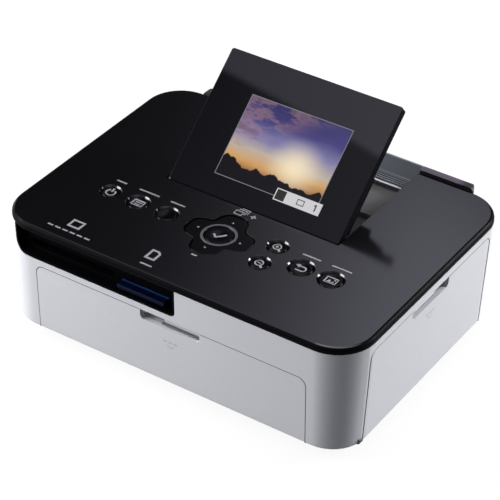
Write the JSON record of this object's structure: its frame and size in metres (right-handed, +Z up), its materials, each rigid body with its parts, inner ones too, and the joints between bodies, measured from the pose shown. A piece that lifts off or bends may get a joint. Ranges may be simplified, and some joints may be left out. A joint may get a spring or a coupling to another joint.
{
  "type": "compact photo printer",
  "caption": "Low rounded desktop photo printer with a tilting display, round push buttons, card slots, a front paper door, a side ink door and its inner paper drive.",
  "frame": {"origin": "on the surface it stands on, under the middle of the body's width and depth", "axes": "+X to the right seen from the front, -Y to the front (paper door and card slots), +Z up"},
  "size_m": [0.178, 0.136, 0.1014],
  "materials": {
    "casing": "satin silver-white plastic",
    "panel": "gloss black",
    "rear_grey": "dark grey metallic plastic",
    "recess_black": "matte black",
    "button_black": "gloss black",
    "display_window": "gloss black with a lit picture",
    "display_shell": "fine satin black",
    "card_blue": "satin blue",
    "rubber": "matte",
    "steel": "satin",
    "plated": "satin",
    "board_green": "solder mask",
    "gear_white": "natural nylon",
    "black_plastic": "satin",
    "ribbon": "wound film",
    "ceramic": "glazed",
    "lcd_cell": "glass over a metal tray",
    "cable": "flat film"
  },
  "bodies": {
    "body": {"lower_case": "casing", "top_cover": "panel", "rear_cover": "rear_grey", "door_hinge_pins": "steel", "card_bezel": "recess_black", "rubber_feet": "rubber", "case_screws": "steel", "control_board": "board_green", "key_switches": "plated", "board_standoffs": "plated", "main_board": "board_green", "sd_socket": "plated", "cf_socket": "black_plastic", "flat_cable": "cable", "chassis_base": "plated", "left_plate": "plated", "right_plate": "plated", "paper_guide": "black_plastic", "cassette_rails": "black_plastic", "ink_cassette": "black_plastic", "head_shaft": "steel", "feed_motor": "plated", "gear_studs": "steel", "fan_frame": "black_plastic", "io_board": "board_green"},
    "display": {"lcd_window": "display_window", "lcd_back_shell": "display_shell", "lcd_module": "lcd_cell", "lcd_hinge_pins": "steel"},
    "paper_door": {"paper_door": "casing"},
    "ink_door": {"ink_door": "casing"},
    "memory_card": {"memory_card": "card_blue"},
    "nav_seat": {"nav_seat": "rubber"},
    "nav_pad": {"nav_pad": "button_black"},
    "platen": {"platen_roller": "rubber", "platen_shaft": "steel"},
    "grip": {"grip_roller": "steel", "grip_gear": "gear_white"},
    "pinch": {"pinch_roller": "rubber"},
    "pickup": {"pickup_roller": "rubber", "pickup_gear": "gear_white"},
    "takeup": {"takeup_spool": "ribbon", "takeup_gear": "gear_white"},
    "supply": {"supply_spool": "ribbon"},
    "head": {"print_head": "ceramic", "heat_sink": "plated", "head_bracket": "plated"},
    "motor_pinion": {"motor_pinion": "gear_white"},
    "reduction_gear": {"reduction_gear": "gear_white"},
    "idler_gear": {"idler_gear": "gear_white"},
    "link_gear": {"link_gear": "gear_white"},
    "fan": {"fan_rotor": "black_plastic"},
    "power_button": {"power_button": "button_black"},
    "menu_button": {"menu_button": "button_black"},
    "edit_button": {"edit_button": "button_black"},
    "zoom_in_button": {"zoom_in_button": "button_black"},
    "zoom_out_button": {"zoom_out_button": "button_black"},
    "back_button": {"back_button": "button_black"},
    "print_button": {"print_button": "button_black"},
    "ok_button": {"ok_button": "button_black"}
  },
  "joints": [
    {"name": "lcd_tilt", "type": "hinge", "parent": "body", "child": "display", "pos_m": [0, -0.003, 0.0575], "axis": [1, 0, 0], "range_deg": [-40.7, 4]},
    {"name": "paper_door_hinge", "type": "hinge", "parent": "body", "child": "paper_door", "pos_m": [0, -0.06315, 0.0092], "axis": [1, 0, 0], "range_deg": [0, 90]},
    {"name": "ink_door_hinge", "type": "hinge", "parent": "body", "child": "ink_door", "pos_m": [0.08415, 0, 0.0092], "axis": [0, 1, 0], "range_deg": [0, 90]},
    {"name": "card_slide", "type": "slide", "parent": "body", "child": "memory_card", "axis": [0, -1, 0], "range_m": [0, 0.02]},
    {"name": "power_press", "type": "slide", "parent": "body", "child": "power_button", "axis": [0, 0, -1], "range_m": [0, 0.0006], "stiffness_N_per_m": 600, "springref_m": -0.0006},
    {"name": "menu_press", "type": "slide", "parent": "body", "child": "menu_button", "axis": [0, 0, -1], "range_m": [0, 0.0006], "stiffness_N_per_m": 600, "springref_m": -0.0006},
    {"name": "edit_press", "type": "slide", "parent": "body", "child": "edit_button", "axis": [0, 0, -1], "range_m": [0, 0.0006], "stiffness_N_per_m": 600, "springref_m": -0.0006},
    {"name": "zoom_in_press", "type": "slide", "parent": "body", "child": "zoom_in_button", "axis": [0, 0, -1], "range_m": [0, 0.0006], "stiffness_N_per_m": 600, "springref_m": -0.0006},
    {"name": "zoom_out_press", "type": "slide", "parent": "body", "child": "zoom_out_button", "axis": [0, 0, -1], "range_m": [0, 0.0006], "stiffness_N_per_m": 600, "springref_m": -0.0006},
    {"name": "back_press", "type": "slide", "parent": "body", "child": "back_button", "axis": [0, 0, -1], "range_m": [0, 0.0006], "stiffness_N_per_m": 600, "springref_m": -0.0006},
    {"name": "print_press", "type": "slide", "parent": "body", "child": "print_button", "axis": [0, 0, -1], "range_m": [0, 0.0006], "stiffness_N_per_m": 600, "springref_m": -0.0006},
    {"name": "ok_press", "type": "slide", "parent": "body", "child": "ok_button", "axis": [0, 0, -1], "range_m": [0, 0.0006], "stiffness_N_per_m": 600, "springref_m": -0.0006},
    {"name": "nav_rock_y", "type": "hinge", "parent": "body", "child": "nav_seat", "pos_m": [-0.001, -0.0275, 0.0546], "axis": [1, 0, 0], "range_deg": [-2, 2], "stiffness_Nm_per_rad": 0.3},
    {"name": "nav_rock_x", "type": "hinge", "parent": "nav_seat", "child": "nav_pad", "pos_m": [-0.001, -0.0275, 0.0546], "axis": [0, 1, 0], "range_deg": [-2, 2], "stiffness_Nm_per_rad": 0.3},
    {"name": "head_pivot", "type": "hinge", "parent": "body", "child": "head", "pos_m": [0, 0.0405, 0.042], "axis": [-1, 0, 0], "range_deg": [-2, 4]},
    {"name": "grip_spin", "type": "hinge", "parent": "body", "child": "grip", "pos_m": [0, 0.044, 0.0165], "axis": [1, 0, 0], "continuous": true},
    {"name": "pinch_spin", "type": "hinge", "parent": "body", "child": "pinch", "pos_m": [0, 0.044, 0.0243], "axis": [1, 0, 0], "continuous": true},
    {"name": "platen_spin", "type": "hinge", "parent": "body", "child": "platen", "pos_m": [0, 0.011, 0.016], "axis": [1, 0, 0], "continuous": true},
    {"name": "pickup_spin", "type": "hinge", "parent": "body", "child": "pickup", "pos_m": [0, -0.03023, 0.02906], "axis": [1, 0, 0], "continuous": true},
    {"name": "takeup_spin", "type": "hinge", "parent": "body", "child": "takeup", "pos_m": [0, -0.006, 0.031], "axis": [1, 0, 0], "continuous": true},
    {"name": "supply_spin", "type": "hinge", "parent": "body", "child": "supply", "pos_m": [0, 0.028, 0.031], "axis": [1, 0, 0], "continuous": true},
    {"name": "motor_spin", "type": "hinge", "parent": "body", "child": "motor_pinion", "pos_m": [0, 0.0515, 0.036], "axis": [1, 0, 0], "continuous": true},
    {"name": "reduction_spin", "type": "hinge", "parent": "body", "child": "reduction_gear", "pos_m": [0, 0.03501, 0.02617], "axis": [1, 0, 0], "continuous": true},
    {"name": "idler_spin", "type": "hinge", "parent": "body", "child": "idler_gear", "pos_m": [0, 0.01103, 0.02517], "axis": [1, 0, 0], "continuous": true},
    {"name": "link_spin", "type": "hinge", "parent": "body", "child": "link_gear", "pos_m": [0, -0.0192, 0.031], "axis": [1, 0, 0], "continuous": true},
    {"name": "fan_spin", "type": "hinge", "parent": "body", "child": "fan", "pos_m": [0.041, 0.0555, 0.0385], "axis": [0, 1, 0], "continuous": true}
  ],
  "couplings": [
    {"joint": "reduction_spin", "follows": "motor_spin", "ratio": -0.33333},
    {"joint": "grip_spin", "follows": "motor_spin", "ratio": 0.24561},
    {"joint": "idler_spin", "follows": "motor_spin", "ratio": 0.5},
    {"joint": "takeup_spin", "follows": "motor_spin", "ratio": -0.57143},
    {"joint": "link_spin", "follows": "motor_spin", "ratio": 1},
    {"joint": "pickup_spin", "follows": "motor_spin", "ratio": -0.75},
    {"joint": "pinch_spin", "follows": "motor_spin", "ratio": -0.36842}
  ]
}
